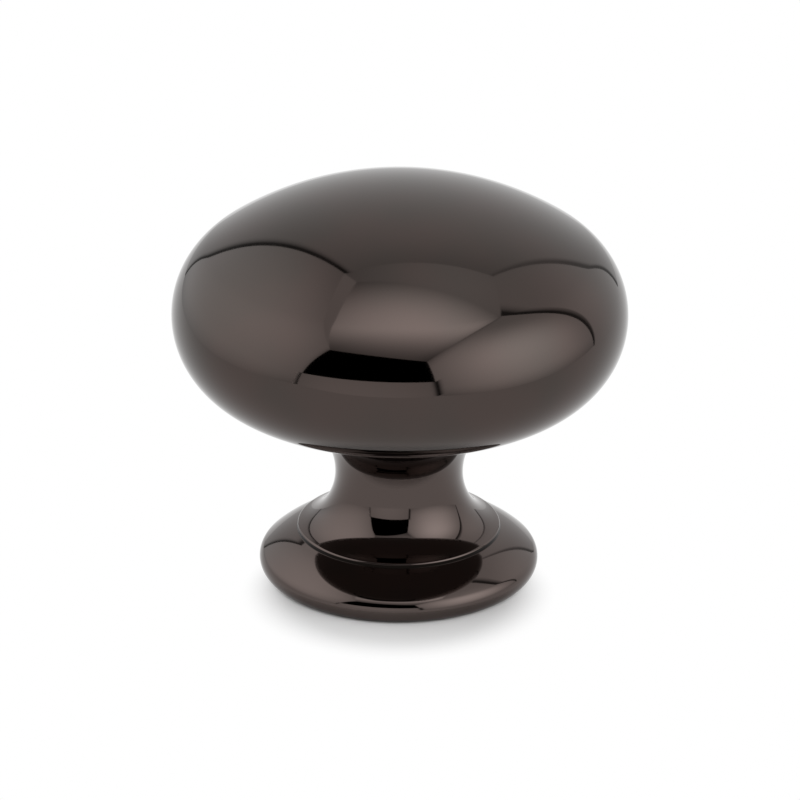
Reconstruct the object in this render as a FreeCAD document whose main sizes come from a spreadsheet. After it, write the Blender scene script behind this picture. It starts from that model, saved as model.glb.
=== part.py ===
import FreeCAD, Part

import math
import os

import Sketcher

# Mushroom cabinet knob, turned in one piece: an oval head, a waisted neck that runs out in a fine lip,
# and a round flange that stands on the drawer front. A blind tapped hole takes the screw from behind.
# The turning axis is Z, and the origin is the centre of the flat underside.

# Every size that a designer would set, in millimetres and degrees.
SIZES = {
    # Head: a shallow crown, a round rim and a straight belly that slopes in to the neck, each tangent to the
    # next. The rim's height is that of the widest place.
    "head_diameter": 32.0,
    "rim_height": 19.5,
    "rim_radius": 6.0,
    "crown_height": 9.2,
    "belly_slope": 20.0,
    # Neck: two arcs that meet upright at the waist. The upper one runs into the belly. The lower one leans out by
    # the neck turn, and there a tighter cove takes over and sweeps out to the lip.
    "neck_diameter": 9.0,
    "waist_height": 7.45,
    "neck_turn": 30.6387,
    "cove_radius": 3.6,
    # Lip: a round edge over a low upright wall, with a fine fillet at its foot. The level is the wall's top.
    "lip_diameter": 14.3,
    "lip_level": 3.32,
    "lip_round": 0.2,
    "lip_wall": 0.13,
    "lip_fillet": 0.08,
    # Flange: a low dome whose rounded edge turns in to the flat underside.
    "flange_diameter": 19.65,
    "dome_radius": 8.0,
    "edge_radius": 1.05,
    "edge_inset": 0.5,
    # Tapped hole for the screw, at the thread's core size, with a countersunk mouth and a drilled end.
    "tap_drill": 3.3,
    "tap_depth": 12.0,
    "drill_point_angle": 118.0,
    "mouth_diameter": 4.4,
    "mouth_angle": 90.0,
}

# Points of a sketch element, and the sketch's own origin, as constraints name them.
START, END, CENTRE = range(1, 4)
ORIGIN = (-1, START)

doc = FreeCAD.newDocument("cabinet_knob")


def make_sheet():
    """The driving dimensions, one aliased cell each."""
    sheet = doc.addObject("Spreadsheet::Sheet", "sizes")
    for row, (name, value) in enumerate(SIZES.items(), start=1):
        sheet.set(f"A{row}", name)
        sheet.set(f"B{row}", str(value))
        sheet.setAlias(f"B{row}", name)
    doc.recompute()


def new_sketch(body, name, role):
    """An empty sketch on one of the body's own origin planes."""
    sketch = body.newObject("Sketcher::SketchObject", name)
    plane = next(feature for feature in body.Origin.OriginFeatures if feature.Role == role)
    sketch.AttachmentSupport = (plane, "")
    sketch.MapMode = "FlatFace"
    return sketch


def point(across, up):
    """A place in the profile, by its distance from the axis and its height over the underside."""
    return FreeCAD.Vector(across, up, 0)


def circles_meet(first, first_radius, second, second_radius):
    """Where two circles meet, on the left as one looks from the first centre to the second."""
    between = second - first
    along = (first_radius**2 - second_radius**2 + between.Length**2) / (2 * between.Length)
    aside = math.sqrt(first_radius**2 - along**2)
    ahead = between / between.Length
    return first + ahead * along + point(-ahead.y, ahead.x) * aside


def bearing(start, end):
    """The direction from one point to another, in radians between 0 and a full turn."""
    return math.atan2(end.y - start.y, end.x - start.x) % (2 * math.pi)


def rule(sketch, kind, *places):
    """A constraint that has no size."""
    sketch.addConstraint(Sketcher.Constraint(kind, *places))


def size(sketch, kind, places, name, expression):
    """A constraint whose size follows the sheet."""
    value = float(sketch.evalExpression(expression))
    if kind == "Angle":
        value = math.radians(value)
    index = sketch.addConstraint(Sketcher.Constraint(kind, *places, value))
    sketch.renameConstraint(index, name)
    sketch.setExpression(f"Constraints.{name}", expression)


def pin_across(sketch, element, end, name, expression):
    """Holds a point at its distance from the axis."""
    size(sketch, "DistanceX", (*ORIGIN, element, end), f"{name}_across", expression)


def pin_up(sketch, element, end, name, expression):
    """Holds a point at its height over the underside."""
    size(sketch, "DistanceY", (*ORIGIN, element, end), f"{name}_up", expression)


def draw_line(sketch, first, last):
    return sketch.addGeometry(Part.LineSegment(first, last))


def draw_arc(sketch, centre, radius, first, last):
    """An arc about a centre, anticlockwise from the first angle to the last, in radians."""
    circle = Part.Circle(centre, FreeCAD.Vector(0, 0, 1), radius)
    return sketch.addGeometry(Part.ArcOfCircle(circle, first, last))


def draw_axis(sketch):
    """The turning axis, from the underside to the top of the crown."""
    axis = draw_line(sketch, point(0, 0), point(0, SIZES["rim_height"] + SIZES["crown_height"]))
    rule(sketch, "Coincident", axis, START, *ORIGIN)
    rule(sketch, "Vertical", axis)
    pin_up(sketch, axis, END, "crown_top", "sizes.rim_height + sizes.crown_height")
    return axis


def draw_flange(sketch, axis):
    """The underside, the rounded edge, the dome, and the fillet and wall of the lip. Gives back the wall."""
    radius, inset = SIZES["edge_radius"], SIZES["edge_inset"]
    foot = point(SIZES["flange_diameter"] / 2 - inset, 0)
    underside = draw_line(sketch, point(0, 0), foot)
    rule(sketch, "Coincident", underside, START, axis, START)
    rule(sketch, "Horizontal", underside)
    pin_across(sketch, underside, END, "foot", "sizes.flange_diameter / 2 - sizes.edge_inset")

    wall_foot = point(SIZES["lip_diameter"] / 2, SIZES["lip_level"] - SIZES["lip_wall"])
    fillet_centre = wall_foot + point(SIZES["lip_fillet"], 0)
    edge_height = math.sqrt(2 * radius * inset - inset**2)
    edge_centre = foot + point(inset - radius, edge_height)
    to_edge = SIZES["dome_radius"] - radius
    to_fillet = SIZES["dome_radius"] + SIZES["lip_fillet"]
    dome_centre = circles_meet(edge_centre, to_edge, fillet_centre, to_fillet)
    dome_start = bearing(dome_centre, edge_centre)
    dome_end = bearing(dome_centre, fillet_centre)

    edge = draw_arc(sketch, edge_centre, radius, -math.asin(edge_height / radius), dome_start)
    rule(sketch, "Coincident", edge, START, underside, END)
    size(sketch, "Radius", (edge,), "edge_radius", "sizes.edge_radius")
    pin_across(sketch, edge, CENTRE, "edge_centre", "sizes.flange_diameter / 2 - sizes.edge_radius")

    dome = draw_arc(sketch, dome_centre, SIZES["dome_radius"], dome_start, dome_end)
    rule(sketch, "Tangent", dome, START, edge, END)
    size(sketch, "Radius", (dome,), "dome_radius", "sizes.dome_radius")

    wall = draw_line(sketch, wall_foot, wall_foot + point(0, SIZES["lip_wall"]))
    rule(sketch, "Vertical", wall)
    pin_across(sketch, wall, START, "lip", "sizes.lip_diameter / 2")
    pin_up(sketch, wall, START, "wall_foot", "sizes.lip_level - sizes.lip_wall")
    pin_up(sketch, wall, END, "lip", "sizes.lip_level")

    fillet = draw_arc(sketch, fillet_centre, SIZES["lip_fillet"], math.pi, math.pi + dome_end)
    size(sketch, "Radius", (fillet,), "lip_fillet", "sizes.lip_fillet")
    rule(sketch, "Tangent", fillet, START, wall, START)
    rule(sketch, "Tangent", fillet, END, dome, END)
    return wall


def draw_head(sketch, axis):
    """The rim, and the crown centred on the axis. Gives back the rim and the place of its lower end."""
    radius, rise = SIZES["rim_radius"], SIZES["crown_height"]
    rim_centre = point(SIZES["head_diameter"] / 2 - radius, SIZES["rim_height"])
    crown_radius = (rim_centre.x**2 + rise**2 - radius**2) / (2 * (rise - radius))
    crown_centre = point(0, SIZES["rim_height"] + rise - crown_radius)
    to_rim = rim_centre - crown_centre
    meeting = math.atan2(to_rim.y, to_rim.x)
    slope = math.radians(SIZES["belly_slope"])

    rim = draw_arc(sketch, rim_centre, radius, slope - math.pi / 2, meeting)
    size(sketch, "Radius", (rim,), "rim_radius", "sizes.rim_radius")
    pin_across(sketch, rim, CENTRE, "rim_centre", "sizes.head_diameter / 2 - sizes.rim_radius")
    pin_up(sketch, rim, CENTRE, "rim_centre", "sizes.rim_height")

    crown = draw_arc(sketch, crown_centre, crown_radius, meeting, math.pi / 2)
    rule(sketch, "Tangent", crown, START, rim, END)
    rule(sketch, "PointOnObject", crown, CENTRE, axis)
    rule(sketch, "Coincident", crown, END, axis, END)
    return rim, rim_centre + point(math.sin(slope), -math.cos(slope)) * radius


def lower_neck_radius(waist, turn, round_centre, to_round):
    """The radius at which the neck's arc, after its turn, hands over to a cove that just touches the lip's round."""
    out = point(math.cos(turn), math.sin(turn))
    reach = waist - round_centre + out * SIZES["cove_radius"]
    sweep = point(1, 0) - out
    half = reach.dot(sweep)
    return (-half - math.sqrt(half**2 - sweep.dot(sweep) * (reach.dot(reach) - to_round**2))) / sweep.dot(sweep)


def draw_lower_neck(sketch, wall):
    """The lip's round edge, the cove, and the arc from the cove up to the waist. Gives back that arc."""
    waist = point(SIZES["neck_diameter"] / 2, SIZES["waist_height"])
    turn = math.radians(SIZES["neck_turn"])
    round_centre = point(SIZES["lip_diameter"] / 2 - SIZES["lip_round"], SIZES["lip_level"])
    to_round = SIZES["cove_radius"] + SIZES["lip_round"]
    radius = lower_neck_radius(waist, turn, round_centre, to_round)
    neck_centre = waist + point(radius, 0)
    cove_centre = neck_centre - point(math.cos(turn), math.sin(turn)) * (radius - SIZES["cove_radius"])
    cove_end = bearing(cove_centre, round_centre)

    lip_round = draw_arc(sketch, round_centre, SIZES["lip_round"], 0, cove_end - math.pi)
    size(sketch, "Radius", (lip_round,), "lip_round", "sizes.lip_round")
    rule(sketch, "Tangent", lip_round, START, wall, END)

    cove = draw_arc(sketch, cove_centre, SIZES["cove_radius"], math.pi + turn, cove_end)
    size(sketch, "Radius", (cove,), "cove_radius", "sizes.cove_radius")
    rule(sketch, "Tangent", cove, END, lip_round, END)

    lower = draw_arc(sketch, neck_centre, radius, math.pi, math.pi + turn)
    size(sketch, "Angle", (lower,), "neck_turn", "sizes.neck_turn")
    rule(sketch, "Tangent", lower, END, cove, START)
    rule(sketch, "Horizontal", lower, CENTRE, lower, START)
    pin_across(sketch, lower, START, "waist", "sizes.neck_diameter / 2")
    pin_up(sketch, lower, START, "waist", "sizes.waist_height")
    return lower


def draw_upper_neck(sketch, lower, rim, rim_end):
    """The arc from the waist up, and the straight belly, which ends at the rim's lower end."""
    waist = point(SIZES["neck_diameter"] / 2, SIZES["waist_height"])
    slope = math.radians(SIZES["belly_slope"])
    to_rim = rim_end - waist
    radius = (to_rim.y * math.cos(slope) - to_rim.x * math.sin(slope)) / (1 - math.sin(slope))
    centre = waist + point(radius, 0)
    upper = draw_arc(sketch, centre, radius, slope + math.pi / 2, math.pi)
    rule(sketch, "Coincident", upper, END, lower, START)
    rule(sketch, "Horizontal", upper, CENTRE, upper, END)

    belly = draw_line(sketch, centre + point(-math.sin(slope), math.cos(slope)) * radius, rim_end)
    rule(sketch, "Tangent", belly, START, upper, START)
    rule(sketch, "Tangent", belly, END, rim, START)
    size(sketch, "Angle", (belly,), "belly_slope", "sizes.belly_slope")


def turn_profile(body):
    """Half of the knob's section, turned once round the axis."""
    sketch = new_sketch(body, "profile", "XZ_Plane")
    axis = draw_axis(sketch)
    wall = draw_flange(sketch, axis)
    lower = draw_lower_neck(sketch, wall)
    rim, rim_end = draw_head(sketch, axis)
    draw_upper_neck(sketch, lower, rim, rim_end)
    doc.recompute()
    if not sketch.FullyConstrained:
        raise RuntimeError("the profile has a point that no size holds")
    turned = body.newObject("PartDesign::Revolution", "turned")
    turned.Profile = sketch
    turned.ReferenceAxis = (sketch, ["V_Axis"])
    turned.Angle = 360
    doc.recompute()
    return turned


def drill_hole(body):
    """The blind hole for the screw, up from the centre of the underside."""
    sketch = new_sketch(body, "hole_place", "XY_Plane")
    circle = sketch.addGeometry(Part.Circle(point(0, 0), FreeCAD.Vector(0, 0, 1), SIZES["tap_drill"] / 2))
    rule(sketch, "Coincident", circle, CENTRE, *ORIGIN)
    size(sketch, "Diameter", (circle,), "tap_drill", "sizes.tap_drill")
    doc.recompute()
    hole = body.newObject("PartDesign::Hole", "screw_hole")
    hole.Profile = sketch
    doc.recompute()
    hole.Reversed = True
    hole.ThreadType = "None"
    hole.DepthType = "Dimension"
    hole.DrillPoint = "Angled"
    hole.DrillForDepth = False
    hole.HoleCutType = "Countersink"
    hole.HoleCutCustomValues = True
    hole.setExpression("Diameter", "sizes.tap_drill")
    hole.setExpression("Depth", "sizes.tap_depth")
    hole.setExpression("DrillPointAngle", "sizes.drill_point_angle")
    hole.setExpression("HoleCutDiameter", "sizes.mouth_diameter")
    hole.setExpression("HoleCutCountersinkAngle", "sizes.mouth_angle")
    doc.recompute()
    return hole


def make_knob():
    """The whole knob, one turned solid."""
    body = doc.addObject("PartDesign::Body", "knob")
    body.Label = "knob"
    body.Placement = FreeCAD.Placement()
    turned = turn_profile(body)
    hole = drill_hole(body)
    if not hole.Shape.Volume < turned.Shape.Volume:
        raise RuntimeError("the hole cuts nothing")
    body.Tip = hole
    doc.recompute()
    return body


def check_document():
    """Stops before anything is written if a feature failed."""
    for feature in doc.Objects:
        if "Invalid" in feature.State or "Error" in feature.State:
            raise RuntimeError(f"{feature.Name} failed: {feature.State}")


def export(body):
    """Writes the part as one file, under its label."""
    shape = body.Shape
    if shape.isNull() or not shape.isValid() or len(shape.Solids) != 1:
        raise RuntimeError(f"{body.Label} is not one valid solid")
    os.makedirs("parts", exist_ok=True)
    shape.exportStep(f"parts/{body.Label}.step")
    box = shape.optimalBoundingBox()
    print(f"{body.Label}: {shape.Volume:.1f} mm3, {box.XLength:.2f} x {box.YLength:.2f} x {box.ZLength:.2f} mm")


make_sheet()
knob = make_knob()
check_document()
export(knob)
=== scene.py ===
import math
from typing import NamedTuple

import bpy
from mathutils import Matrix, Vector


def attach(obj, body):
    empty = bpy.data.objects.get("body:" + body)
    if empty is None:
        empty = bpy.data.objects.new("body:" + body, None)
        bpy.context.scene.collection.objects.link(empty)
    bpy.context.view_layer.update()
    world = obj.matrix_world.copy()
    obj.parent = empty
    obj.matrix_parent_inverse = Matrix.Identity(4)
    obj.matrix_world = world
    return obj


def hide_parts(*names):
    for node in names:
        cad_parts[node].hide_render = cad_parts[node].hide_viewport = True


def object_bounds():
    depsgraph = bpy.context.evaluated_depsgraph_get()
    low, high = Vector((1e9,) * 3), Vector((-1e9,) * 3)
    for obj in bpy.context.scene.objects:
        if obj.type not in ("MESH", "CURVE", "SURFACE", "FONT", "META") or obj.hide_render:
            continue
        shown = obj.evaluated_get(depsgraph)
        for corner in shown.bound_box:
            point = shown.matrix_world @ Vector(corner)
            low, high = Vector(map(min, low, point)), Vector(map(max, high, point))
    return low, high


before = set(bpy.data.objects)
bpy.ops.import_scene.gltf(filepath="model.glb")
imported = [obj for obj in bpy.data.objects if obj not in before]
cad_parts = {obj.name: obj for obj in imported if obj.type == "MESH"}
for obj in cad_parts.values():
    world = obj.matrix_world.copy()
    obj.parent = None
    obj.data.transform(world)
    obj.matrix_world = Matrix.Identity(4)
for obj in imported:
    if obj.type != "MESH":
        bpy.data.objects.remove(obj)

bl_info = {
    "name": "Mushroom cabinet knob",
    "version": (1, 0, 0),
    "blender": (4, 5, 0),
    "location": "3D View > Sidebar > Knob",
    "description": "A turned cabinet knob in polished black nickel, with the small light tent it stands in",
    "category": "Object",
}

MM = 0.001
CAD_LOW, CAD_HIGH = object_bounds()
NODE = "knob"

# Rings of faces along each stretch of the profile, and faces round the axis.
SEGMENTS = 256
RINGS = {
    "crown": 32,
    "rim": 48,
    "belly": 4,
    "throat": 24,
    "lower neck": 14,
    "cove": 14,
    "lip round": 12,
    "lip wall": 1,
    "lip fillet": 8,
    "dome": 8,
    "flange edge": 24,
    "underside": 4,
    "mouth": 2,
    "thread": 136,
    "plain bore": 1,
    "drilled end": 2,
}
ROWS_PER_PITCH = 8
MERGE_DISTANCE = 0.001 * MM
SHARP_ANGLE = math.radians(25)

# How much of the thread's pitch is flat at the core and at the root.
FLAT_AT_CORE = 1 / 4
FLAT_AT_ROOT = 1 / 8


# Settings

def length(name, description, default):
    """A size, set in metres and shown in the scene's own unit."""
    return bpy.props.FloatProperty(
        name=name, description=description, default=default, min=0, unit="LENGTH", precision=5
    )


def angle(name, description, degrees):
    """A slope or a turn, set in degrees and kept in radians."""
    return bpy.props.FloatProperty(
        name=name, description=description, default=math.radians(degrees), subtype="ANGLE"
    )


def linear(hex_colour):
    """An sRGB hex colour as the linear values that a shader takes."""
    channels = [int(hex_colour[i:i + 2], 16) / 255 for i in (1, 3, 5)]
    return tuple(c / 12.92 if c <= 0.04045 else ((c + 0.055) / 1.055) ** 2.4 for c in channels)


def colour(name, description, hex_colour):
    """A colour, written as sRGB hex and kept linear."""
    return bpy.props.FloatVectorProperty(
        name=name,
        description=description,
        default=linear(hex_colour),
        size=3,
        min=0,
        max=1,
        subtype="COLOR",
    )


class KnobSizes(bpy.types.PropertyGroup):
    """The sizes that set the knob's profile. The head's width and the height follow the solid."""

    head_diameter: length("Head diameter", "Width of the head at its rim", CAD_HIGH.x - CAD_LOW.x)
    height: length("Height", "From the underside to the top of the crown", CAD_HIGH.z - CAD_LOW.z)
    crown_height: length("Crown height", "From the rim's widest place to the top", 9.2 * MM)
    rim_radius: length("Rim radius", "Rounding of the rim", 6 * MM)
    belly_slope: angle("Belly slope", "How steeply the underside of the head falls to the neck", 20)
    neck_diameter: length("Neck diameter", "Width of the neck at its waist", 9 * MM)
    waist_height: length("Waist height", "Height of the neck's narrowest place", 7.45 * MM)
    neck_turn: angle("Neck turn", "How far the neck leans out before the cove takes over", 30.6387)
    cove_radius: length("Cove radius", "Tighter curve that runs out to the lip", 3.6 * MM)
    lip_diameter: length("Lip diameter", "Width of the fine lip where the neck ends", 14.3 * MM)
    lip_level: length("Lip level", "Height of the top of the lip's wall", 3.32 * MM)
    lip_round: length("Lip round", "Rounding between the cove and the lip's wall", 0.2 * MM)
    lip_wall: length("Lip wall", "Height of the lip's upright wall", 0.13 * MM)
    lip_fillet: length("Lip fillet", "Fillet between the lip's wall and the flange", 0.08 * MM)
    flange_diameter: length("Flange diameter", "Width of the flange", 19.65 * MM)
    dome_radius: length("Dome radius", "Curve of the flange's upper face", 8 * MM)
    edge_radius: length("Edge radius", "Rounding of the flange's edge", 1.05 * MM)
    edge_inset: length("Edge inset", "How far the foot lies inside the flange's edge", 0.5 * MM)
    mouth_diameter: length("Mouth diameter", "Width of the countersink", 4.4 * MM)
    core_diameter: length("Core diameter", "Drilled size of the tapped hole", 3.3 * MM)
    thread_diameter: length("Thread diameter", "Outer size of the thread", 4 * MM)
    thread_pitch: length("Thread pitch", "Rise of the thread in one turn", 0.7 * MM)
    bore_depth: length("Bore depth", "Depth of the hole's straight wall", 12 * MM)
    drill_point: angle("Drill point", "Angle of the hole's drilled end", 118)


class KnobFinish(bpy.types.PropertyGroup):
    """The colours of the plating, and of the painted shade under the lip."""

    plate: colour("Plate", "Polished black nickel", "#4B423F")
    plate_cool: colour("Plate, cooler", "Where the plating is a shade thinner", "#47413E")
    # Paler plate towards the foot, set by height alone.
    plate_foot: colour("Plate at the foot", "Thinner plating, and so a little paler", "#524946")
    # Painted shade: a near-black line round the lip's wall that stands in for the shaded corner under the
    # lip.
    painted_lip_shade: colour("Under the lip", "Buffing compound left in the corner under the lip", "#14110F")
    machined: colour("Machined face", "Black nickel over the turned underside", "#5E5754")


class StudioSettings(bpy.types.PropertyGroup):
    """The light tent and the camera."""

    light: bpy.props.FloatProperty(name="Light", description="Brightness of the tent", default=1, min=0)
    floor: colour("Floor", "Pale paper that the knob stands on", "#EAEAEA")
    cloth: colour("Seam cloth", "Black cloth in the seams of the tent", "#0A0A0A")
    camera_distance: length("Camera distance", "From the camera to the knob", 700 * MM)
    camera_pitch: angle("Camera pitch", "How steeply the camera looks down", 24.11)
    camera_roll: angle("Camera roll", "How far the camera leans to its left", 0.3)
    camera_lens: bpy.props.FloatProperty(name="Lens", description="Focal length in mm", default=448.7)


# The turned profile

class Stretch(NamedTuple):
    """One turned band of the surface. Each starts where the one before it ends."""

    name: str
    kind: str
    sizes: dict


def arc(name, centre, radius, start, end):
    """A band whose section is an arc, from one angle about its centre to another."""
    sizes = {"Centre Across": centre.x, "Centre Up": centre.y, "Radius": radius, "From": start, "To": end}
    return Stretch(name, "Turned Arc", sizes)


def line(name, start, end):
    """A band whose section is straight."""
    sizes = {"From Across": start.x, "From Up": start.y, "To Across": end.x, "To Up": end.y}
    return Stretch(name, "Turned Line", sizes)


def place(across, up):
    """A point of the section, by its distance from the axis and its height."""
    return Vector((across, up))


def bearing(start, end):
    """The angle at which one point of the section sees another."""
    return math.atan2(end.y - start.y, end.x - start.x)


def towards(angle_from_level, distance):
    """The step from one point of the section to another that lies this way and this far."""
    return place(math.cos(angle_from_level), math.sin(angle_from_level)) * distance


def head_profile(sizes):
    """Crown, rim and belly, and the arc that turns the belly down into the neck."""
    rim_height = sizes.height - sizes.crown_height
    rim = place(sizes.head_diameter / 2 - sizes.rim_radius, rim_height)
    above_rim = sizes.crown_height - sizes.rim_radius
    crown_radius = (rim.x**2 + sizes.crown_height**2 - sizes.rim_radius**2) / (2 * above_rim)
    crown = place(0, sizes.height - crown_radius)
    meeting = bearing(crown, rim)
    rim_end = rim + towards(sizes.belly_slope - math.pi / 2, sizes.rim_radius)

    waist = place(sizes.neck_diameter / 2, sizes.waist_height)
    reach = rim_end - waist
    rise = reach.y * math.cos(sizes.belly_slope) - reach.x * math.sin(sizes.belly_slope)
    throat_radius = rise / (1 - math.sin(sizes.belly_slope))
    throat = waist + place(throat_radius, 0)
    throat_start = sizes.belly_slope + math.pi / 2
    return [
        arc("crown", crown, crown_radius, math.pi / 2, meeting),
        arc("rim", rim, sizes.rim_radius, meeting, sizes.belly_slope - math.pi / 2),
        line("belly", rim_end, throat + towards(throat_start, throat_radius)),
        arc("throat", throat, throat_radius, throat_start, math.pi),
    ]


def neck_profile(sizes):
    """The sweep from the waist down into the cove, and the lip's round edge and wall."""
    waist = place(sizes.neck_diameter / 2, sizes.waist_height)
    lip = place(sizes.lip_diameter / 2 - sizes.lip_round, sizes.lip_level)
    out = towards(sizes.neck_turn, 1)

    # The neck's radius is the one at which the cove, after the neck's turn, just touches the lip's round.
    reach = waist - lip + out * sizes.cove_radius
    sweep = place(1, 0) - out
    half = reach.dot(sweep)
    short = reach.length_squared - (sizes.cove_radius + sizes.lip_round) ** 2
    neck_radius = (-half - math.sqrt(half**2 - sweep.length_squared * short)) / sweep.length_squared
    neck = waist + place(neck_radius, 0)
    cove = neck - out * (neck_radius - sizes.cove_radius)
    lip_start = bearing(lip, cove)
    wall_top = place(sizes.lip_diameter / 2, sizes.lip_level)
    return [
        arc("lower neck", neck, neck_radius, -math.pi, sizes.neck_turn - math.pi),
        arc("cove", cove, sizes.cove_radius, sizes.neck_turn - math.pi, lip_start - math.pi),
        arc("lip round", lip, sizes.lip_round, lip_start, 0),
        line("lip wall", wall_top, wall_top - place(0, sizes.lip_wall)),
    ]


def circles_meet(first, first_radius, second, second_radius):
    """Where two circles meet, on the left as one looks from the first centre to the second."""
    between = second - first
    along = (first_radius**2 - second_radius**2 + between.length_squared) / (2 * between.length)
    aside = math.sqrt(first_radius**2 - along**2)
    ahead = between.normalized()
    return first + ahead * along + place(-ahead.y, ahead.x) * aside


def flange_profile(sizes):
    """The fillet at the foot of the lip, the dome and the flange's rounded edge."""
    edge_radius = sizes.edge_radius
    fillet = place(sizes.lip_diameter / 2 + sizes.lip_fillet, sizes.lip_level - sizes.lip_wall)
    edge_height = math.sqrt(2 * edge_radius * sizes.edge_inset - sizes.edge_inset**2)
    edge = place(sizes.flange_diameter / 2 - edge_radius, edge_height)
    dome = circles_meet(edge, sizes.dome_radius - edge_radius, fillet, sizes.dome_radius + sizes.lip_fillet)
    dome_start = bearing(dome, fillet)
    edge_start = bearing(dome, edge)
    return [
        arc("lip fillet", fillet, sizes.lip_fillet, math.pi, dome_start + math.pi),
        arc("dome", dome, sizes.dome_radius, dome_start, edge_start),
        arc("flange edge", edge, edge_radius, edge_start, -math.asin(edge_height / edge_radius)),
    ]


def hole_profile(sizes):
    """The flat underside, and the countersunk, tapped and drilled hole up its middle."""
    core = sizes.core_diameter / 2
    mouth = sizes.mouth_diameter / 2
    mouth_depth = mouth - core
    turns = RINGS["thread"] // ROWS_PER_PITCH - 1
    thread_end = mouth_depth + turns * sizes.thread_pitch
    point_depth = core / math.tan(sizes.drill_point / 2)
    thread = {
        "Core": core,
        "Depth": sizes.thread_diameter / 2 - core,
        "Pitch": sizes.thread_pitch,
        "From Up": mouth_depth,
        "To Up": thread_end,
    }
    return [
        line("underside", place(sizes.flange_diameter / 2 - sizes.edge_inset, 0), place(mouth, 0)),
        line("mouth", place(mouth, 0), place(core, mouth_depth)),
        Stretch("thread", "Turned Thread", thread),
        line("plain bore", place(core, thread_end), place(core, sizes.bore_depth)),
        line("drilled end", place(core, sizes.bore_depth), place(0, sizes.bore_depth + point_depth)),
    ]


# The turned mesh

def add_node(tree, kind, inputs=None, **settings):
    """A node with its settings. Each input, by name or number, is a value, an output, or a node, which gives
    its first output."""
    node = tree.nodes.new(kind)
    for name, value in settings.items():
        setattr(node, name, value)
    for name, value in (inputs or {}).items():
        if isinstance(value, bpy.types.Node):
            value = value.outputs[0]
        if isinstance(value, bpy.types.NodeSocket):
            tree.links.new(value, node.inputs[name])
        else:
            node.inputs[name].default_value = value
    return node


def section_place(tree, point):
    """Where a point lies on the turned section: its distance from the axis, and its height."""
    apart = add_node(tree, "ShaderNodeSeparateXYZ", {0: point}).outputs
    level = add_node(tree, "ShaderNodeCombineXYZ", {"X": apart["X"], "Y": apart["Y"]})
    out = add_node(tree, "ShaderNodeVectorMath", {0: level}, operation="LENGTH")
    return out.outputs["Value"], apart["Z"]


def arc_path(tree, sizes, along, turn):
    """A point's distance from the axis and its height, on a band with a round section."""
    swept = add_node(
        tree, "ShaderNodeMapRange", {"Value": along, "To Min": sizes["From"], "To Max": sizes["To"]}
    )
    cosine = add_node(tree, "ShaderNodeMath", {0: swept}, operation="COSINE")
    sine = add_node(tree, "ShaderNodeMath", {0: swept}, operation="SINE")
    across = add_node(
        tree,
        "ShaderNodeMath",
        {0: cosine, 1: sizes["Radius"], 2: sizes["Centre Across"]},
        operation="MULTIPLY_ADD",
    )
    up = add_node(
        tree,
        "ShaderNodeMath",
        {0: sine, 1: sizes["Radius"], 2: sizes["Centre Up"]},
        operation="MULTIPLY_ADD",
    )
    return across, up


def line_path(tree, sizes, along, turn):
    """The same on a band with a straight section."""
    return [
        add_node(
            tree,
            "ShaderNodeMapRange",
            {"Value": along, "To Min": sizes[f"From {way}"], "To Max": sizes[f"To {way}"]},
        )
        for way in ("Across", "Up")
    ]


def thread_path(tree, sizes, along, turn):
    """The same on the tapped wall. Its rows climb with the thread, and stop level at both ends."""
    pitch, start, end = sizes["Pitch"], sizes["From Up"], sizes["To Up"]
    first = add_node(tree, "ShaderNodeMath", {0: start, 1: pitch}, operation="SUBTRACT")
    row = add_node(tree, "ShaderNodeMapRange", {"Value": along, "To Min": first, "To Max": end})
    share = add_node(tree, "ShaderNodeMath", {0: turn, 1: math.tau}, operation="DIVIDE")
    climb = add_node(tree, "ShaderNodeMath", {0: share, 1: pitch, 2: row}, operation="MULTIPLY_ADD")
    up = add_node(tree, "ShaderNodeClamp", {"Value": climb, "Min": start, "Max": end})

    # The tooth is flat at the core and at the root, with straight flanks between the flats.
    risen = add_node(tree, "ShaderNodeMath", {0: climb, 1: start}, operation="SUBTRACT")
    turns = add_node(tree, "ShaderNodeMath", {0: risen, 1: pitch}, operation="DIVIDE")
    flank = add_node(tree, "ShaderNodeMath", {0: turns, 1: 0.5}, operation="PINGPONG")
    tooth = add_node(
        tree,
        "ShaderNodeMapRange",
        {"Value": flank, "From Min": FLAT_AT_CORE / 2, "From Max": (1 - FLAT_AT_ROOT) / 2},
    )

    # It fades to nothing over the first and the last half turn.
    below = add_node(tree, "ShaderNodeMath", {0: up, 1: start}, operation="SUBTRACT")
    above = add_node(tree, "ShaderNodeMath", {0: end, 1: up}, operation="SUBTRACT")
    nearest = add_node(tree, "ShaderNodeMath", {0: below, 1: above}, operation="MINIMUM")
    half_turn = add_node(tree, "ShaderNodeMath", {0: pitch, 1: 0.5}, operation="MULTIPLY")
    fade = add_node(tree, "ShaderNodeMapRange", {"Value": nearest, "From Max": half_turn})
    cut = add_node(tree, "ShaderNodeMath", {0: tooth, 1: fade}, operation="MULTIPLY")
    across = add_node(
        tree, "ShaderNodeMath", {0: cut, 1: sizes["Depth"], 2: sizes["Core"]}, operation="MULTIPLY_ADD"
    )
    return across, up


BAND_KINDS = {
    "Turned Arc": (arc_path, ("Centre Across", "Centre Up", "Radius", "From", "To")),
    "Turned Line": (line_path, ("From Across", "From Up", "To Across", "To Up")),
    "Turned Thread": (thread_path, ("Core", "Depth", "Pitch", "From Up", "To Up")),
}


def mesh_tree(name, inputs):
    """A tree that takes these inputs, each with its kind of socket, and gives a mesh. Also its inputs."""
    tree = bpy.data.node_groups.new(name, "GeometryNodeTree")
    for label, kind in inputs.items():
        tree.interface.new_socket(label, in_out="INPUT", socket_type=kind)
    tree.interface.new_socket("Mesh", in_out="OUTPUT", socket_type="NodeSocketGeometry")
    return tree, add_node(tree, "NodeGroupInput").outputs


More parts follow.
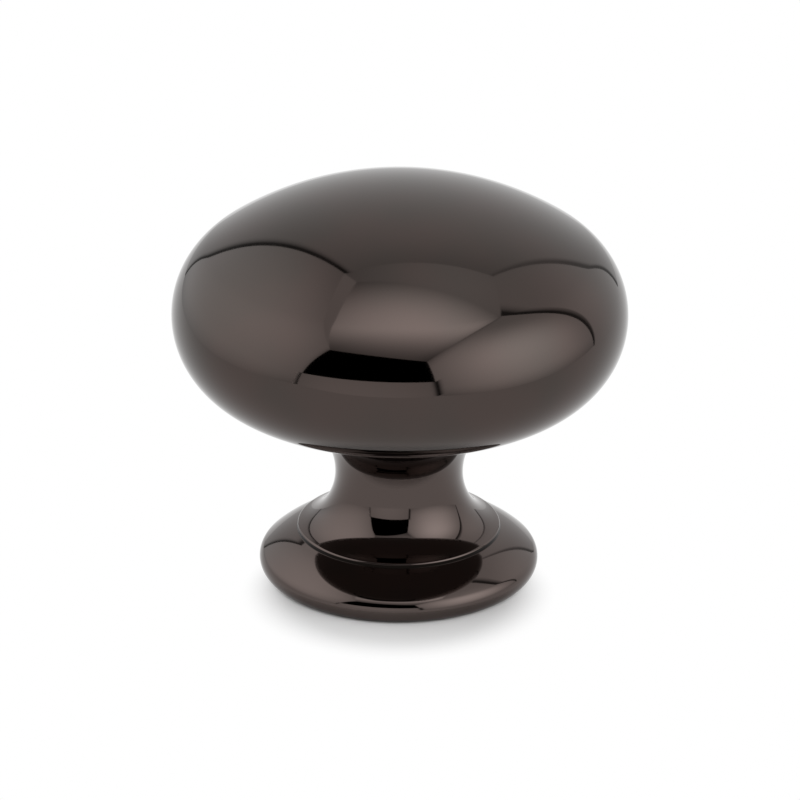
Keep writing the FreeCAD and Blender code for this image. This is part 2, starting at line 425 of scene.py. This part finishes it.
def band_group(kind):
    """The node group that turns one kind of band once round the Z axis."""
    path, size_names = BAND_KINDS[kind]
    inputs = dict.fromkeys(size_names, "NodeSocketFloat")
    inputs |= dict.fromkeys(("Rings", "Segments"), "NodeSocketInt")
    tree, given = mesh_tree(kind, inputs)

    along_count = add_node(tree, "ShaderNodeMath", {0: given["Rings"], 1: 1.0}, operation="ADD")
    round_count = add_node(tree, "ShaderNodeMath", {0: given["Segments"], 1: 1.0}, operation="ADD")
    grid = add_node(
        tree,
        "GeometryNodeMeshGrid",
        {"Size X": 1.0, "Size Y": 1.0, "Vertices X": along_count, "Vertices Y": round_count},
    )
    position = add_node(tree, "GeometryNodeInputPosition")
    apart = add_node(tree, "ShaderNodeSeparateXYZ", {0: position}).outputs
    along = add_node(tree, "ShaderNodeMath", {0: apart["X"], 1: 0.5}, operation="ADD")
    turn = add_node(
        tree, "ShaderNodeMath", {0: apart["Y"], 1: math.tau, 2: math.pi}, operation="MULTIPLY_ADD"
    )
    across, up = path(tree, given, along, turn)
    east = add_node(tree, "ShaderNodeMath", {0: turn}, operation="COSINE")
    north = add_node(tree, "ShaderNodeMath", {0: turn}, operation="SINE")
    x = add_node(tree, "ShaderNodeMath", {0: east, 1: across}, operation="MULTIPLY")
    y = add_node(tree, "ShaderNodeMath", {0: north, 1: across}, operation="MULTIPLY")
    spun = add_node(tree, "ShaderNodeCombineXYZ", {"X": x, "Y": y, "Z": up})
    moved = add_node(tree, "GeometryNodeSetPosition", {"Geometry": grid, "Position": spun})
    add_node(tree, "NodeGroupOutput", {"Mesh": moved})
    return tree


def knob_tree(profile):
    """The tree that turns the whole profile, closes its joints and gives each face its finish."""
    inputs = {
        "Segments": "NodeSocketInt",
        "Merge Distance": "NodeSocketFloat",
        "Sharp Angle": "NodeSocketFloat",
        "Hole Radius": "NodeSocketFloat",
        "Hole Top": "NodeSocketFloat",
        "Polished": "NodeSocketMaterial",
        "Machined": "NodeSocketMaterial",
    }
    for stretch in profile:
        inputs[f"{stretch.name} Rings"] = "NodeSocketInt"
        for name in stretch.sizes:
            inputs[f"{stretch.name} {name}"] = "NodeSocketFloat"
    tree, given = mesh_tree("Turned Knob", inputs)

    groups = {kind: band_group(kind) for kind in BAND_KINDS}
    joined = add_node(tree, "GeometryNodeJoinGeometry")
    for stretch in profile:
        sizes = {name: given[f"{stretch.name} {name}"] for name in ("Rings", *stretch.sizes)}
        sizes["Segments"] = given["Segments"]
        band = add_node(
            tree, "GeometryNodeGroup", sizes, node_tree=groups[stretch.kind], label=stretch.name
        )
        tree.links.new(band.outputs["Mesh"], joined.inputs[0])

    closed = add_node(
        tree, "GeometryNodeMergeByDistance", {"Geometry": joined, "Distance": given["Merge Distance"]}
    )
    smooth = add_node(
        tree, "GeometryNodeSetShadeSmooth", {"Geometry": closed, "Shade Smooth": True}, domain="FACE"
    )
    bend = add_node(tree, "GeometryNodeInputMeshEdgeAngle")
    sharp = add_node(tree, "ShaderNodeMath", {0: bend, 1: given["Sharp Angle"]}, operation="GREATER_THAN")
    edged = add_node(
        tree,
        "GeometryNodeSetShadeSmooth",
        {"Geometry": smooth, "Selection": sharp, "Shade Smooth": False},
        domain="EDGE",
    )
    real = add_node(tree, "GeometryNodeRealizeInstances", {"Geometry": edged})
    polished = add_node(tree, "GeometryNodeSetMaterial", {"Geometry": real, "Material": given["Polished"]})

    # The underside is the face that lies on the drawer. The hole is all that is near the axis and no higher
    # than its drilled end.
    position = add_node(tree, "GeometryNodeInputPosition")
    out, up = section_place(tree, position)
    under = add_node(tree, "ShaderNodeMath", {0: up, 1: given["Merge Distance"]}, operation="LESS_THAN")
    near = add_node(tree, "ShaderNodeMath", {0: out, 1: given["Hole Radius"]}, operation="LESS_THAN")
    low = add_node(tree, "ShaderNodeMath", {0: up, 1: given["Hole Top"]}, operation="LESS_THAN")
    inside = add_node(tree, "ShaderNodeMath", {0: near, 1: low}, operation="MULTIPLY")
    unpolished = add_node(tree, "ShaderNodeMath", {0: under, 1: inside}, operation="MAXIMUM")
    finished = add_node(
        tree,
        "GeometryNodeSetMaterial",
        {"Geometry": polished, "Selection": unpolished, "Material": given["Machined"]},
    )
    add_node(tree, "NodeGroupOutput", {"Mesh": finished})
    return tree


def apply_tree(name, tree, values):
    """A new object whose plain mesh is what the tree makes of these inputs."""
    piece = bpy.data.objects.new(name, bpy.data.meshes.new(name))
    bpy.context.scene.collection.objects.link(piece)
    modifier = piece.modifiers.new(tree.name, "NODES")
    modifier.node_group = tree
    for socket in tree.interface.items_tree:
        if socket.in_out == "INPUT":
            modifier[socket.identifier] = values[socket.name]
    depsgraph = bpy.context.evaluated_depsgraph_get()
    mesh = bpy.data.meshes.new_from_object(piece.evaluated_get(depsgraph), depsgraph=depsgraph)
    piece.modifiers.clear()
    piece.data = mesh
    mesh.name = name
    return piece


# Finishes. Lengths are in millimetres, and a pair runs from one end of a change to the other.

TINT_CLOUD = 9
TINT_CHANGE = (0.35, 0.65)
SMEAR = 3.5
SMEAR_CHANGE = (0.3, 0.7)
POLISHED_ROUGHNESS = (0.035, 0.06)
BUFFING_PITCH = 0.2
BUFFING_DEPTH = 0.0002
SLANT_BRIGHTNESS = 0.93
LATHE_FEED = 0.14
LATHE_DEPTH = 0.004
CUT_GRAIN = 1.2
CUT_CHANGE = (0.3, 0.7)
MACHINED_ROUGHNESS = (0.24, 0.38)

# Heights between which the plate goes from its full colour to its paler one at the foot.
PALER_BELOW = (11, 7.5)

# Distances from the middle of the lip's wall between which the painted shade under the lip sets in.
LIP_SHADE_EDGE = (0.16, 0.1)

# The colour inputs of a Mix node go by number, because its other inputs have the same names.
COLOUR_A = 6
COLOUR_B = 7


def per_mm(size_mm):
    """A texture scale at which one feature is this many millimetres across."""
    return 1 / (size_mm * MM)


def with_alpha(rgb):
    """A colour as a shader's socket takes it."""
    return (*rgb, 1)


def new_material(name):
    """A material and its empty tree."""
    material = bpy.data.materials.new(name)
    material.use_nodes = True
    material.node_tree.nodes.clear()
    return material, material.node_tree


def polished_black_nickel(finish, sizes):
    """Black nickel plated over buffed brass. A dark mirror: it shows the tent sharp and brown-grey, pale at
    the rims, with a shade of tint from place to place and the faintest rings from the buffing wheel."""
    material, tree = new_material("polished_black_nickel")
    coordinates = add_node(tree, "ShaderNodeTexCoord").outputs["Object"]
    out, up = section_place(tree, coordinates)
    section = add_node(tree, "ShaderNodeCombineXYZ", {"X": out, "Y": up})
    clouds = add_node(
        tree,
        "ShaderNodeTexNoise",
        {"Vector": coordinates, "Scale": per_mm(TINT_CLOUD), "Detail": 2.0, "Roughness": 0.45},
    )
    tint = add_node(
        tree,
        "ShaderNodeMapRange",
        {"Value": clouds, "From Min": TINT_CHANGE[0], "From Max": TINT_CHANGE[1]},
        interpolation_type="SMOOTHSTEP",
    )
    full_plate = add_node(
        tree,
        "ShaderNodeMix",
        {"Factor": tint, COLOUR_A: with_alpha(finish.plate), COLOUR_B: with_alpha(finish.plate_cool)},
        data_type="RGBA",
    )
    low = add_node(
        tree,
        "ShaderNodeMapRange",
        {"Value": up, "From Min": PALER_BELOW[0] * MM, "From Max": PALER_BELOW[1] * MM},
        interpolation_type="SMOOTHSTEP",
    )
    plate = add_node(
        tree,
        "ShaderNodeMix",
        {"Factor": low, COLOUR_A: full_plate.outputs["Result"], COLOUR_B: with_alpha(finish.plate_foot)},
        data_type="RGBA",
    )

    # Painted shade: a hair-thin dark line round the lip's wall, standing in for the shaded corner under the
    # lip.
    wall = Vector((sizes.lip_diameter / 2, sizes.lip_level - sizes.lip_wall / 2, 0))
    away = add_node(tree, "ShaderNodeVectorMath", {0: section, 1: wall}, operation="DISTANCE")
    corner = add_node(
        tree,
        "ShaderNodeMapRange",
        {
            "Value": away.outputs["Value"],
            "From Min": LIP_SHADE_EDGE[0] * MM,
            "From Max": LIP_SHADE_EDGE[1] * MM,
        },
        interpolation_type="SMOOTHSTEP",
    )
    shaded_plate = add_node(
        tree,
        "ShaderNodeMix",
        {"Factor": corner, COLOUR_A: plate.outputs["Result"], COLOUR_B: with_alpha(finish.painted_lip_shade)},
        data_type="RGBA",
    )
    smears = add_node(
        tree,
        "ShaderNodeTexNoise",
        {"Vector": coordinates, "Scale": per_mm(SMEAR), "Detail": 4.0, "Roughness": 0.6},
    )
    gloss = add_node(
        tree,
        "ShaderNodeMapRange",
        {
            "Value": smears,
            "From Min": SMEAR_CHANGE[0],
            "From Max": SMEAR_CHANGE[1],
            "To Min": POLISHED_ROUGHNESS[0],
            "To Max": POLISHED_ROUGHNESS[1],
        },
    )

    # The buffing rings are finer than this on the real knob, and are drawn coarser so that they show at all.
    buffing = add_node(
        tree, "ShaderNodeTexNoise", {"Vector": section, "Scale": per_mm(BUFFING_PITCH), "Detail": 1.0}
    )
    relief = add_node(
        tree, "ShaderNodeBump", {"Strength": 0.1, "Distance": BUFFING_DEPTH * MM, "Height": buffing}
    )
    shader = add_node(
        tree,
        "ShaderNodeBsdfPrincipled",
        {
            "Base Color": shaded_plate.outputs["Result"],
            "Metallic": 1.0,
            "Roughness": gloss,
            "Specular Tint": with_alpha((SLANT_BRIGHTNESS,) * 3),
            "Normal": relief,
        },
    )
    add_node(tree, "ShaderNodeOutputMaterial", {"Surface": shader})
    return material


def machined_black_nickel(finish):
    """The same plating over the face as it left the lathe. Satin, with the tool's fine rings, because nobody
    buffs the side that lies on the drawer."""
    material, tree = new_material("machined_black_nickel")
    coordinates = add_node(tree, "ShaderNodeTexCoord").outputs["Object"]
    out, up = section_place(tree, coordinates)
    travel = add_node(tree, "ShaderNodeMath", {0: out, 1: up}, operation="SUBTRACT")
    feed = add_node(
        tree, "ShaderNodeMath", {0: travel, 1: math.tau * per_mm(LATHE_FEED)}, operation="MULTIPLY"
    )
    groove = add_node(tree, "ShaderNodeMath", {0: feed}, operation="SINE")
    relief = add_node(
        tree, "ShaderNodeBump", {"Strength": 0.6, "Distance": LATHE_DEPTH * MM, "Height": groove}
    )
    grain = add_node(
        tree,
        "ShaderNodeTexNoise",
        {"Vector": coordinates, "Scale": per_mm(CUT_GRAIN), "Detail": 5.0, "Roughness": 0.6},
    )
    satin = add_node(
        tree,
        "ShaderNodeMapRange",
        {
            "Value": grain,
            "From Min": CUT_CHANGE[0],
            "From Max": CUT_CHANGE[1],
            "To Min": MACHINED_ROUGHNESS[0],
            "To Max": MACHINED_ROUGHNESS[1],
        },
    )
    shade = add_node(
        tree,
        "ShaderNodeMix",
        {"Factor": grain, COLOUR_A: with_alpha(finish.machined), COLOUR_B: with_alpha(finish.plate)},
        data_type="RGBA",
    )
    shader = add_node(
        tree,
        "ShaderNodeBsdfPrincipled",
        {"Base Color": shade.outputs["Result"], "Metallic": 1.0, "Roughness": satin, "Normal": relief},
    )
    add_node(tree, "ShaderNodeOutputMaterial", {"Surface": shader})
    return material


class KNOB_OT_turn(bpy.types.Operator):
    """Turn the knob in one piece from its profile, with the tapped hole in its underside"""

    bl_idname = "knob.turn"
    bl_label = "Turn the knob"

    def execute(self, context):
        sizes = context.scene.knob_sizes
        finish = context.scene.knob_finish
        profile = head_profile(sizes) + neck_profile(sizes) + flange_profile(sizes) + hole_profile(sizes)
        values = {
            "Segments": SEGMENTS,
            "Merge Distance": MERGE_DISTANCE,
            "Sharp Angle": SHARP_ANGLE,
            "Hole Radius": sizes.mouth_diameter / 2 + MERGE_DISTANCE,
            "Hole Top": sizes.bore_depth + sizes.core_diameter,
            "Polished": polished_black_nickel(finish, sizes),
            "Machined": machined_black_nickel(finish),
        }
        for stretch in profile:
            values[f"{stretch.name} Rings"] = RINGS[stretch.name]
            for name, value in stretch.sizes.items():
                values[f"{stretch.name} {name}"] = value
        piece = apply_tree("turned_knob", knob_tree(profile), values)
        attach(piece, "root")
        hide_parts(NODE)
        return {"FINISHED"}


# The light tent, as its reflections in the knob place it. Feet and tops of its corners, in millimetres.

BACK_LEFT = Vector((-95, 158, 0))
BACK_RIGHT = Vector((85, 125, 0))
RIGHT = Vector((133, 36, 0))
FRONT_RIGHT = Vector((39, -122, 0))
FRONT_LEFT = Vector((-118, -105, 0))
BACK_LEFT_TOP = Vector((-64, 78, 250))
BACK_RIGHT_TOP = Vector((112, 102, 250))
ROOF_BACK_LEFT = Vector((-50, 54, 250))
ROOF_BACK_RIGHT = Vector((132, 23, 249))
ROOF_FRONT_RIGHT = Vector((31, -121, 101))
ROOF_FRONT_LEFT = Vector((-95, -112, 143))

# The front is closed by a low strip of cloth, and open above it for the camera.
STRIP_HEIGHT = 38
STRIP_LEFT = FRONT_LEFT.lerp(ROOF_FRONT_LEFT, STRIP_HEIGHT / ROOF_FRONT_LEFT.z)
STRIP_RIGHT = FRONT_RIGHT.lerp(ROOF_FRONT_RIGHT, STRIP_HEIGHT / ROOF_FRONT_RIGHT.z)

# The paper reaches this far each way, and is all white past the second of the two distances from its middle.
FLOOR_REACH = 3000
FLOOR_MIDDLE = Vector((0, 0, 0))
PAPER_EDGE = (45, 95)

# How far the white of the background comes in over the paper, from the middle of the knob's own shadow.
SHADOW_MIDDLE = Vector((0, -4.5, 0))
SHADOW_EDGE = (7.2, 11.2)

# The point that the camera looks at, and the width of its sensor.
CAMERA_AIM = Vector((0.04, -0.42, 13.06))
SENSOR_WIDTH = 36

# How far the seams stand inside the sheets, and the attribute that says how dark they are.
SEAM_PROUD = 0.6
DEPTH = "depth"


class Panel(NamedTuple):
    """One sheet of the tent, from its two feet to its two tops. It glows at its level everywhere, and by its
    gain more at its bright middle, which is given as shares of the way along and up the sheet."""

    name: str
    corners: tuple
    level: float
    gain: float = 0
    middle: tuple = (0.5, 0.5)
    spread: tuple = (100, 100, 100)


class Seam(NamedTuple):
    """A dark seam along an edge of the tent, and the soft shadow beside it, both laid on the sheet that runs
    off from that edge. Each pair is a value at the edge's start and one at its end. A fold has no width."""

    name: str
    start: Vector
    end: Vector
    sheet: Vector
    width: tuple
    shadow: tuple
    darkness: tuple


PANELS = (
    Panel(
        "left_wall",
        (BACK_LEFT, FRONT_LEFT, ROOF_FRONT_LEFT, BACK_LEFT_TOP),
        level=0.69,
        gain=1.15,
        middle=(0.51, 0.41),
        spread=(120, 120, 120),
    ),
    Panel(
        "back_wall",
        (BACK_RIGHT, BACK_LEFT, BACK_LEFT_TOP, BACK_RIGHT_TOP),
        level=0.64,
        gain=0.41,
        middle=(0.45, 0.43),
        spread=(116, 116, 116),
    ),
    Panel(
        "right_wall",
        (RIGHT, BACK_RIGHT, BACK_RIGHT_TOP, ROOF_BACK_RIGHT),
        level=0.93,
        gain=0.31,
        middle=(0.40, 0.27),
        spread=(62, 62, 62),
    ),
    Panel(
        "softbox",
        (FRONT_RIGHT, RIGHT, ROOF_BACK_RIGHT, ROOF_FRONT_RIGHT),
        level=0.91,
        gain=1.78,
        middle=(0.49, 0.37),
        spread=(66, 66, 66),
    ),
    Panel(
        "back_roof",
        (ROOF_BACK_LEFT, ROOF_BACK_RIGHT, BACK_RIGHT_TOP, BACK_LEFT_TOP),
        level=0.1,
        gain=0.94,
        middle=(0.69, 0.37),
        spread=(173, 173, 173),
    ),
    Panel(
        "roof",
        (ROOF_FRONT_LEFT, ROOF_FRONT_RIGHT, ROOF_BACK_RIGHT, ROOF_BACK_LEFT),
        level=0.1,
        gain=2.59,
        middle=(0.6, 0.57),
        spread=(144, 72, 142),
    ),
    Panel(
        "front_strip",
        (FRONT_LEFT, FRONT_RIGHT, STRIP_RIGHT, STRIP_LEFT),
        level=0.1,
        gain=1.1,
        middle=(0.5, -0.3),
        spread=(170, 170, 170),
    ),
    Panel("camera_opening", (STRIP_LEFT, STRIP_RIGHT, ROOF_FRONT_RIGHT, ROOF_FRONT_LEFT), level=0),
)
SEAMS = (
    Seam(
        "seam_back_left",
        BACK_LEFT,
        BACK_LEFT_TOP,
        sheet=BACK_RIGHT - BACK_LEFT,
        width=(3.4, 4),
        shadow=(9, 9),
        darkness=(0.8, 0.95),
    ),
    Seam(
        "seam_back_right",
        BACK_RIGHT,
        BACK_RIGHT_TOP,
        sheet=BACK_LEFT_TOP - BACK_RIGHT_TOP,
        width=(4.5, 2.5),
        shadow=(6, 6),
        darkness=(0.75, 0.3),
    ),
    Seam(
        "seam_right",
        RIGHT,
        ROOF_BACK_RIGHT,
        sheet=BACK_RIGHT_TOP - ROOF_BACK_RIGHT,
        width=(1.8, 10),
        shadow=(3, 20),
        darkness=(0.9, 0.9),
    ),
    Seam(
        "seam_softbox",
        FRONT_RIGHT,
        STRIP_RIGHT,
        sheet=ROOF_BACK_RIGHT - ROOF_FRONT_RIGHT,
        width=(2.8, 2.8),
        shadow=(10, 10),
        darkness=(0.95, 0.95),
    ),
    Seam(
        "seam_strip_right",
        FRONT_RIGHT,
        STRIP_RIGHT,
        sheet=FRONT_LEFT - FRONT_RIGHT,
        width=(1, 1),
        shadow=(6, 6),
        darkness=(0.8, 0.8),
    ),
    Seam(
        "seam_front_left",
        FRONT_LEFT,
        STRIP_LEFT,
        sheet=BACK_LEFT - FRONT_LEFT,
        width=(3.5, 3.5),
        shadow=(6, 6),
        darkness=(0.75, 0.75),
    ),
    # The rows with no width are painted shadows only: dark sheets that dim the glowing sheets along an edge.
    Seam(
        "fold_left",
        FRONT_LEFT,
        ROOF_FRONT_LEFT,
        sheet=BACK_LEFT - FRONT_LEFT,
        width=(0, 0),
        shadow=(10, 16),
        darkness=(0.1, 0.45),
    ),
    Seam(
        "fold_softbox",
        ROOF_FRONT_RIGHT,
        ROOF_BACK_RIGHT,
        sheet=FRONT_RIGHT - ROOF_FRONT_RIGHT,
        width=(0, 0),
        shadow=(30, 12),
        darkness=(0.45, 0.3),
    ),
    Seam(
        "fold_roof",
        ROOF_FRONT_RIGHT,
        ROOF_BACK_RIGHT,
        sheet=ROOF_FRONT_LEFT - ROOF_FRONT_RIGHT,
        width=(0, 0),
        shadow=(25, 15),
        darkness=(0.35, 0.2),
    ),
    Seam(
        "foot_left",
        BACK_LEFT,
        FRONT_LEFT,
        sheet=ROOF_FRONT_LEFT - FRONT_LEFT,
        width=(0, 0),
        shadow=(35, 35),
        darkness=(0.3, 0.2),
    ),
    Seam(
        "foot_softbox",
        FRONT_RIGHT,
        RIGHT,
        sheet=ROOF_BACK_RIGHT - RIGHT,
        width=(0, 0),
        shadow=(25, 25),
        darkness=(0.3, 0.3),
    ),
)


def stage_mesh(name, points, faces, material, to_camera=False):
    """A mesh that isn't part of the knob, from points in millimetres."""
    mesh = bpy.data.meshes.new(name)
    mesh.from_pydata([Vector(point) * MM for point in points], [], faces)
    mesh.materials.append(material)
    thing = bpy.data.objects.new(name, mesh)
    bpy.context.scene.collection.objects.link(thing)
    thing.visible_camera = to_camera
    return thing


def glowing_sheet(panel, light):
    """Tent cloth lit from behind: brightest where its lamp stands, and falling off softly."""
    foot_start, foot_end, top_end, top_start = panel.corners
    along, up = panel.middle
    middle = foot_start.lerp(foot_end, along).lerp(top_start.lerp(top_end, along), up)
    material, tree = new_material(f"tent_{panel.name}")
    coordinates = add_node(tree, "ShaderNodeTexCoord").outputs["Object"]
    offset = add_node(tree, "ShaderNodeVectorMath", {0: coordinates, 1: middle * MM}, operation="SUBTRACT")
    share = add_node(
        tree, "ShaderNodeVectorMath", {0: offset, 1: Vector(panel.spread) * MM}, operation="DIVIDE"
    )
    square = add_node(tree, "ShaderNodeVectorMath", {0: share, 1: share}, operation="DOT_PRODUCT")
    negative = add_node(tree, "ShaderNodeMath", {0: square.outputs["Value"], 1: -1.0}, operation="MULTIPLY")
    falloff = add_node(tree, "ShaderNodeMath", {0: negative}, operation="EXPONENT")
    strength = add_node(
        tree,
        "ShaderNodeMath",
        {0: falloff, 1: panel.gain * light, 2: panel.level * light},
        operation="MULTIPLY_ADD",
    )
    glow = add_node(tree, "ShaderNodeEmission", {"Strength": strength})
    add_node(tree, "ShaderNodeOutputMaterial", {"Surface": glow})
    return material


def dark_cloth(shade):
    """Black cloth in the seams. It lights nothing, and thins to a soft shadow where its depth runs out."""
    material, tree = new_material("tent_dark_cloth")
    cloth = add_node(tree, "ShaderNodeBsdfDiffuse", {"Color": with_alpha(shade)})
    gap = add_node(tree, "ShaderNodeBsdfTransparent")
    depth = add_node(tree, "ShaderNodeAttribute", attribute_name=DEPTH).outputs["Fac"]
    shadow = add_node(tree, "ShaderNodeMath", {0: depth, 1: 2.0}, operation="POWER")
    mixed = add_node(tree, "ShaderNodeMixShader", {0: shadow, 1: gap, 2: cloth})
    add_node(tree, "ShaderNodeOutputMaterial", {"Surface": mixed})
    return material


def fade_to_white(tree, coordinates, middle, start, end):
    """Nothing up to a distance from a middle, and everything past another, in millimetres."""
    out = add_node(tree, "ShaderNodeVectorMath", {0: coordinates, 1: middle * MM}, operation="DISTANCE")
    return add_node(
        tree,
        "ShaderNodeMapRange",
        {"Value": out.outputs["Value"], "From Min": start * MM, "From Max": end * MM},
        interpolation_type="SMOOTHSTEP",
    )


def pale_paper(floor):
    """Plain matt paper, lit past white all round. It keeps the soft shadow at the knob's foot, and it fades
    into the white background before it reaches the tent's walls."""
    material, tree = new_material("pale_paper")
    coordinates = add_node(tree, "ShaderNodeTexCoord").outputs["Object"]
    paper = add_node(tree, "ShaderNodeBsdfDiffuse", {"Color": with_alpha(floor)})
    white = add_node(tree, "ShaderNodeEmission", {"Strength": 1.0})
    far = fade_to_white(tree, coordinates, FLOOR_MIDDLE, *PAPER_EDGE)
    near = fade_to_white(tree, coordinates, SHADOW_MIDDLE, *SHADOW_EDGE)
    path = add_node(tree, "ShaderNodeLightPath").outputs
    seen = path["Is Camera Ray"]
    for ray in ("Is Glossy Ray", "Is Transmission Ray"):
        seen = add_node(tree, "ShaderNodeMath", {0: seen, 1: path[ray]}, operation="MAXIMUM")
    clipped = add_node(tree, "ShaderNodeMath", {0: seen, 1: near}, operation="MULTIPLY")
    share = add_node(tree, "ShaderNodeMath", {0: clipped, 1: far}, operation="MAXIMUM")
    mixed = add_node(tree, "ShaderNodeMixShader", {0: share, 1: paper, 2: white})
    add_node(tree, "ShaderNodeOutputMaterial", {"Surface": mixed})
    return material


def tent_seam(seam, cloth):
    """A dark strip from an edge of the tent over one of its sheets, with a soft shadow beyond it."""
    beside = seam.sheet.normalized()
    inward = (CAMERA_AIM - (seam.start + seam.end) / 2).normalized() * SEAM_PROUD
    points = []
    depths = []
    ends = zip((seam.start, seam.end), seam.width, seam.shadow, seam.darkness)
    for corner, width, shadow, darkness in ends:
        points += [corner + inward + beside * across for across in (0, width, width + shadow)]
        depths += [math.sqrt(darkness), math.sqrt(darkness), 0]
    strip = stage_mesh(seam.name, points, [(0, 1, 4, 3), (1, 2, 5, 4)], cloth)
    strip.data.attributes.new(DEPTH, "FLOAT", "POINT").data.foreach_set("value", depths)


class KNOB_OT_studio(bpy.types.Operator):
    """Set up the floor, the light tent, the background and the camera"""

    bl_idname = "knob.studio"
    bl_label = "Set up the studio"

    def execute(self, context):
        studio = context.scene.knob_studio
        sides = ((-1, -1), (1, -1), (1, 1), (-1, 1))
        corners = [(x * FLOOR_REACH, y * FLOOR_REACH, 0) for x, y in sides]
        stage_mesh("floor", corners, [(0, 1, 2, 3)], pale_paper(studio.floor), to_camera=True)
        for panel in PANELS:
            stage_mesh(panel.name, panel.corners, [(0, 1, 2), (0, 2, 3)], glowing_sheet(panel, studio.light))
        cloth = dark_cloth(studio.cloth)
        for seam in SEAMS:
            tent_seam(seam, cloth)
        self.light_background(context)
        self.place_camera(context, studio)
        return {"FINISHED"}

    def light_background(self, context):
        """A plain white world, which the camera sees past the floor, because it doesn't see the tent."""
        world = bpy.data.worlds.new("white_background")
        world.use_nodes = True
        background = world.node_tree.nodes["Background"]
        background.inputs["Color"].default_value = (1, 1, 1, 1)
        background.inputs["Strength"].default_value = 1
        context.scene.world = world
        context.scene.view_settings.view_transform = "Standard"

    def place_camera(self, context, studio):
        """A long lens that looks a little down on the knob, as the photo's does."""
        camera = bpy.data.cameras.new("camera")
        camera.sensor_width = SENSOR_WIDTH
        camera.lens = studio.camera_lens
        holder = bpy.data.objects.new("camera", camera)
        context.scene.collection.objects.link(holder)
        pitch = studio.camera_pitch
        back = Vector((0, -math.cos(pitch), math.sin(pitch)))
        holder.location = CAMERA_AIM * MM + back * studio.camera_distance
        level = Matrix.Rotation(math.pi / 2 - pitch, 3, "X")
        holder.rotation_euler = (level @ Matrix.Rotation(studio.camera_roll, 3, "Z")).to_euler()
        context.scene.camera = holder


# The panel and the run

class KNOB_PT_panel(bpy.types.Panel):
    """Lists the steps that build the knob and its studio, and their settings"""

    bl_label = "Cabinet knob"
    bl_idname = "KNOB_PT_panel"
    bl_space_type = "VIEW_3D"
    bl_region_type = "UI"
    bl_category = "Knob"

    def draw(self, context):
        layout = self.layout
        for operator in OPERATORS:
            layout.operator(operator.bl_idname)
        for group in (context.scene.knob_sizes, context.scene.knob_finish, context.scene.knob_studio):
            box = layout.box()
            for name in group.bl_rna.properties.keys():
                if name not in ("rna_type", "name"):
                    box.prop(group, name)


OPERATORS = (KNOB_OT_turn, KNOB_OT_studio)
CLASSES = (KnobSizes, KnobFinish, StudioSettings, *OPERATORS, KNOB_PT_panel)


def register():
    for cls in CLASSES:
        bpy.utils.register_class(cls)
    bpy.types.Scene.knob_sizes = bpy.props.PointerProperty(type=KnobSizes)
    bpy.types.Scene.knob_finish = bpy.props.PointerProperty(type=KnobFinish)
    bpy.types.Scene.knob_studio = bpy.props.PointerProperty(type=StudioSettings)


def unregister():
    del bpy.types.Scene.knob_studio
    del bpy.types.Scene.knob_finish
    del bpy.types.Scene.knob_sizes
    for cls in reversed(CLASSES):
        bpy.utils.unregister_class(cls)


def main():
    register()
    bpy.ops.knob.turn()
    bpy.ops.knob.studio()


if __name__ == "__main__":
    main()
